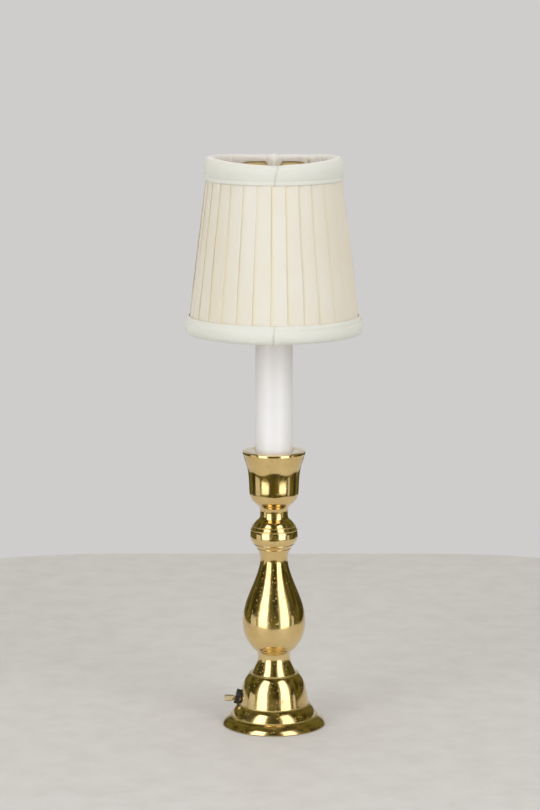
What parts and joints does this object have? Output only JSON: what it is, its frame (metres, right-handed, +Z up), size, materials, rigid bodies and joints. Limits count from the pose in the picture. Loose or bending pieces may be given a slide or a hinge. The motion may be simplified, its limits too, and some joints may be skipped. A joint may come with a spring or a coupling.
{
  "type": "candlestick table lamp",
  "caption": "Small candlestick lamp: turned brass column on a stepped base, white candle sleeve, toggle switch, and a pleated cloth shade clipped on a candle bulb",
  "frame": {"origin": "on the resting plane, on the lamp's upright axis", "axes": "+Z up, -Y the front with the shade's seams, -X the side of the toggle switch, +Y the back with the cord inlet"},
  "size_m": [0.1098, 0.1098, 0.3556],
  "materials": {
    "brass": "polished and lacquered",
    "steel": "zinc plated",
    "contact_brass": "plain",
    "socket_plastic": "moulded phenolic",
    "switch_plastic": "moulded",
    "switch_black": "black",
    "switch_metal": "polished",
    "sleeve_white": "satin",
    "cap_metal": "rolled",
    "cap_glass": "fused black",
    "bulb_glass": "clear",
    "filament": "drawn wire",
    "frame_wire": "plated wire",
    "cover_cloth": "pleated woven cloth",
    "lining_cloth": "plain",
    "trim_cloth": "folded woven band"
  },
  "bodies": {
    "stand": {"base": "brass", "neck": "brass", "vase": "brass", "knop": "brass", "cup": "brass", "threaded_pipe": "steel", "base_washer": "steel", "base_nut": "steel", "cup_washer": "steel", "cup_nut": "steel", "socket_bracket": "steel", "socket_rivet": "contact_brass", "socket_body": "socket_plastic", "screw_shell": "contact_brass", "socket_contact": "contact_brass", "terminal_screws": "contact_brass", "switch_housing": "switch_plastic", "switch_bushing": "switch_metal", "switch_ring_nut": "switch_black", "switch_lock_washer": "switch_metal", "switch_terminals": "contact_brass", "cord_bushing": "switch_plastic"},
    "toggle": {"switch_lever": "switch_metal"},
    "candle": {"candle_tube": "sleeve_white"},
    "bulb": {"bulb_cap": "cap_metal", "bulb_insulator": "cap_glass", "bulb_contact": "cap_metal", "bulb_glass": "bulb_glass", "bulb_stem": "bulb_glass", "bulb_filament": "filament"},
    "shade": {"top_ring": "frame_wire", "bottom_ring": "frame_wire", "ribs": "frame_wire", "clip_front": "frame_wire", "clip_back": "frame_wire", "pleated_cover": "cover_cloth", "lining": "lining_cloth", "top_trim": "trim_cloth", "bottom_trim": "trim_cloth"}
  },
  "joints": [
    {"name": "switch_toggle", "type": "hinge", "parent": "stand", "child": "toggle", "pos_m": [-0.01952, 0, 0.01616], "axis": [0, 1, 0], "range_deg": [0, 30]},
    {"name": "candle_turn", "type": "hinge", "parent": "stand", "child": "candle", "pos_m": [0, 0, 0.1577], "axis": [0, 0, 1], "continuous": true},
    {"name": "bulb_turn", "type": "hinge", "parent": "stand", "child": "bulb", "pos_m": [0, 0, 0.2583], "axis": [0, 0, 1], "range_deg": [0, 1620]},
    {"name": "shade_swivel", "type": "hinge", "parent": "bulb", "child": "shade", "pos_m": [0, 0, 0.2893], "axis": [0, 0, 1], "continuous": true}
  ]
}
